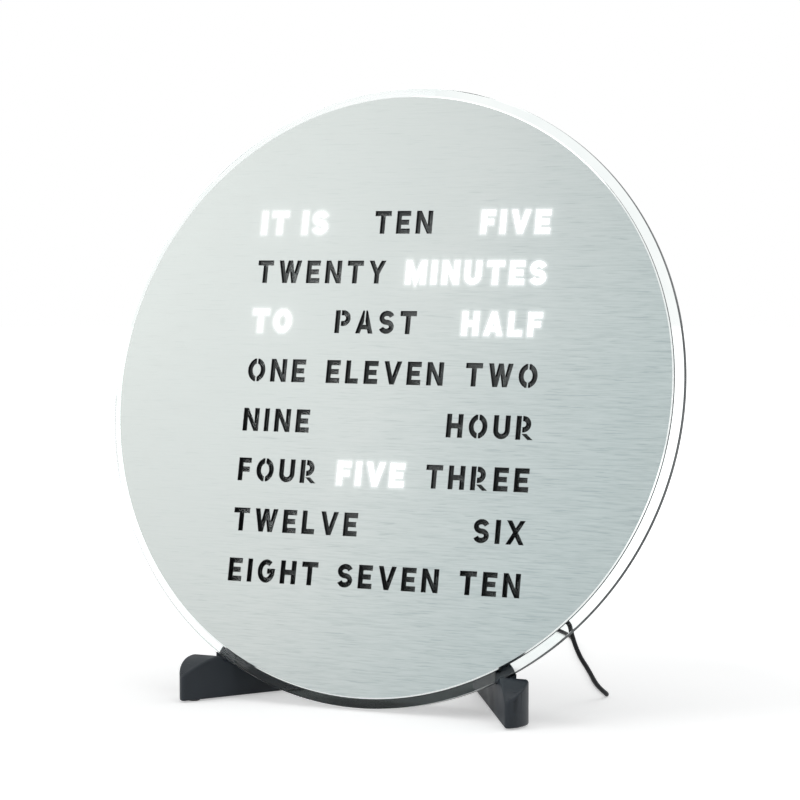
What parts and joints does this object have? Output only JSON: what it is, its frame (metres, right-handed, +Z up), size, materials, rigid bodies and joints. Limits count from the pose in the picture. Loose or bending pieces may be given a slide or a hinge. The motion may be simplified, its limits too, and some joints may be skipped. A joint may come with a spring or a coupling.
{
  "type": "word clock",
  "caption": "Table word clock: brushed round face with stencil-cut time words over a clear disc, lit from a slim rear housing, leaning back in two splayed feet.",
  "frame": {"origin": "on the table, below the middle of the clock's bounding box, the cord apart", "axes": "+Z up, the face looks towards -Y, +X to the right of someone facing it"},
  "size_m": [0.298, 0.3204, 0.2925],
  "materials": {
    "brushed_face": "fine horizontal brushing",
    "clear_acrylic": "clear, polished",
    "smoked_diffuser": "dark smoked, satin",
    "black_foam": "matt foam tape",
    "black_housing": "fine-grained, matt",
    "charcoal_feet": "smooth, satin",
    "black_rubber": "matt",
    "green_board": "solder mask",
    "white_board": "white solder mask",
    "plain_steel": "bright zinc",
    "dark_parts": "moulded",
    "cord_black": "satin jacket"
  },
  "bodies": {
    "clock": {"face_plate": "brushed_face", "clear_disc": "clear_acrylic", "diffuser": "smoked_diffuser", "tape_ring": "black_foam", "light_grid": "black_foam", "strip_board": "white_board", "light_strip_1": "white_board", "light_strip_2": "white_board", "light_strip_3": "white_board", "light_strip_4": "white_board", "light_strip_5": "white_board", "light_strip_6": "white_board", "light_strip_7": "white_board", "light_strip_8": "white_board", "strip_board_screw_1": "plain_steel", "strip_board_screw_2": "plain_steel", "strip_board_screw_3": "plain_steel", "strip_board_screw_4": "plain_steel", "cover_screw_1": "plain_steel", "cover_screw_2": "plain_steel", "cover_screw_3": "plain_steel", "cover_screw_4": "plain_steel", "cover_screw_5": "plain_steel", "cover_screw_6": "plain_steel", "board_screw_1": "plain_steel", "board_screw_2": "plain_steel", "board_screw_3": "plain_steel", "board_screw_4": "plain_steel", "coin_cell": "plain_steel", "usb_shell": "plain_steel", "rear_housing": "black_housing", "back_cover": "black_housing", "control_board": "green_board", "processor": "dark_parts", "cell_clip": "dark_parts", "strip_lead": "dark_parts", "hour_switch": "dark_parts", "minute_switch": "dark_parts", "brightness_switch": "dark_parts", "power_socket": "dark_parts", "cord_tie": "black_rubber", "cord": "cord_black", "cord_coil": "cord_black", "cord_tail": "cord_black", "power_plug": "cord_black", "plug_boot": "cord_black", "usb_grip": "cord_black"},
    "hour_button": {"hour_button": "charcoal_feet"},
    "minute_button": {"minute_button": "charcoal_feet"},
    "brightness_button": {"brightness_button": "charcoal_feet"},
    "left_foot": {"left_foot": "charcoal_feet", "left_front_pad": "black_rubber", "left_rear_pad": "black_rubber"},
    "right_foot": {"right_foot": "charcoal_feet", "right_front_pad": "black_rubber", "right_rear_pad": "black_rubber"}
  },
  "joints": [
    {"name": "hour_press", "type": "slide", "parent": "clock", "child": "hour_button", "axis": [0, -0.9781, 0.2079], "range_m": [0, 0.0008], "stiffness_N_per_m": 1500, "springref_m": -0.0002},
    {"name": "minute_press", "type": "slide", "parent": "clock", "child": "minute_button", "axis": [0, -0.9781, 0.2079], "range_m": [0, 0.0008], "stiffness_N_per_m": 1500, "springref_m": -0.0002},
    {"name": "brightness_press", "type": "slide", "parent": "clock", "child": "brightness_button", "axis": [0, -0.9781, 0.2079], "range_m": [0, 0.0008], "stiffness_N_per_m": 1500, "springref_m": -0.0002},
    {"name": "left_foot_lift_off", "type": "slide", "parent": "clock", "child": "left_foot", "axis": [-1, 0, 0], "range_m": [0, 0.03]},
    {"name": "right_foot_lift_off", "type": "slide", "parent": "clock", "child": "right_foot", "axis": [1, 0, 0], "range_m": [0, 0.03]}
  ]
}
